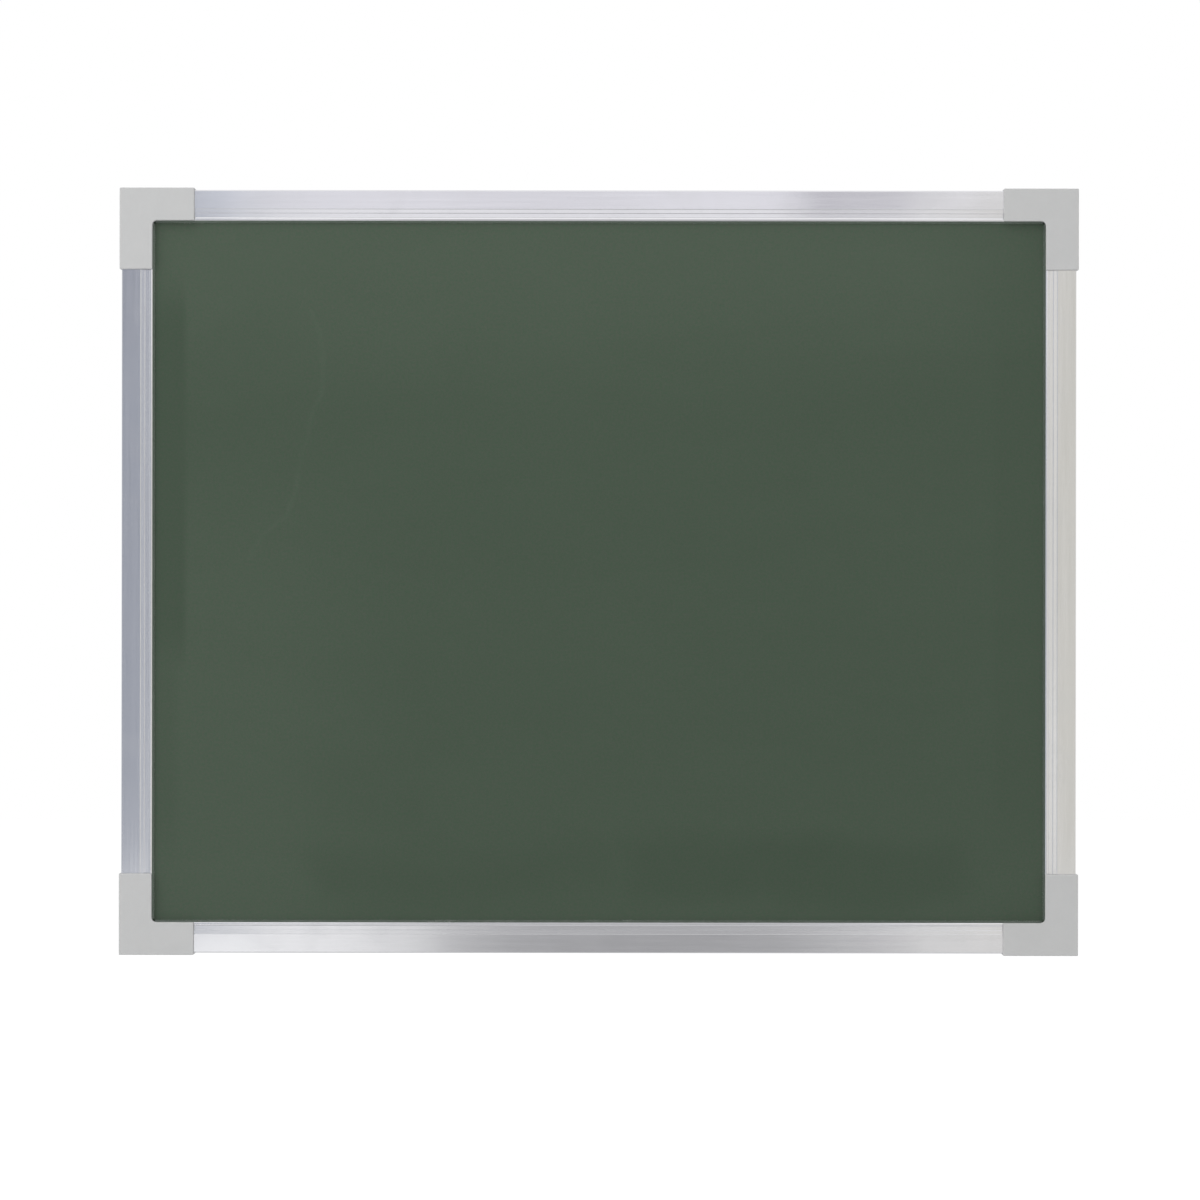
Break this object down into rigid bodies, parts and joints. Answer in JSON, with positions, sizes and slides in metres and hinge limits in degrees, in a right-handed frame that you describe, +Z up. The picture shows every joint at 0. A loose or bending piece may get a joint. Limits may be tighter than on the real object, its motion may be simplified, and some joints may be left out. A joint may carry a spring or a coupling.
{
  "type": "chalkboard",
  "caption": "Wall-hung green chalkboard: steel writing sheet on a fibreboard core, in hollow aluminium rails joined by corner blocks under push-on plastic covers.",
  "frame": {"origin": "middle of the board on the plane of the wall that it hangs on", "axes": "+X to the right as someone faces the board, +Y into the wall, +Z up; the green face looks along -Y"},
  "size_m": [0.5, 0.0145, 0.4],
  "materials": {
    "chalk_green": "matte chalk coating",
    "fibreboard": "raw pressed fibre",
    "galvanised_sheet": "dull zinc spangle",
    "satin_aluminium": "satin anodised, drawn lengthwise",
    "block_plastic": "plain moulded",
    "cover_plastic": "fine moulded texture",
    "zinc_steel": "bright zinc"
  },
  "bodies": {
    "board": {"writing_sheet": "chalk_green", "core_board": "fibreboard", "back_sheet": "galvanised_sheet", "rail_top": "satin_aluminium", "rail_bottom": "satin_aluminium", "rail_left": "satin_aluminium", "rail_right": "satin_aluminium", "corner_block_bottom_left": "block_plastic", "corner_block_bottom_right": "block_plastic", "corner_block_top_left": "block_plastic", "corner_block_top_right": "block_plastic", "rail_screw_bottom_left": "zinc_steel", "rail_screw_bottom_right": "zinc_steel", "rail_screw_top_left": "zinc_steel", "rail_screw_top_right": "zinc_steel", "rail_screw_left_bottom": "zinc_steel", "rail_screw_right_bottom": "zinc_steel", "rail_screw_left_top": "zinc_steel", "rail_screw_right_top": "zinc_steel"},
    "cover_bottom_left": {"corner_cover_bottom_left": "cover_plastic"},
    "cover_bottom_right": {"corner_cover_bottom_right": "cover_plastic"},
    "cover_top_left": {"corner_cover_top_left": "cover_plastic"},
    "cover_top_right": {"corner_cover_top_right": "cover_plastic"}
  },
  "joints": [
    {"name": "cover_bottom_left_pull", "type": "slide", "parent": "board", "child": "cover_bottom_left", "axis": [0, -1, 0], "range_m": [0, 0.02]},
    {"name": "cover_bottom_right_pull", "type": "slide", "parent": "board", "child": "cover_bottom_right", "axis": [0, -1, 0], "range_m": [0, 0.02]},
    {"name": "cover_top_left_pull", "type": "slide", "parent": "board", "child": "cover_top_left", "axis": [0, -1, 0], "range_m": [0, 0.02]},
    {"name": "cover_top_right_pull", "type": "slide", "parent": "board", "child": "cover_top_right", "axis": [0, -1, 0], "range_m": [0, 0.02]}
  ]
}
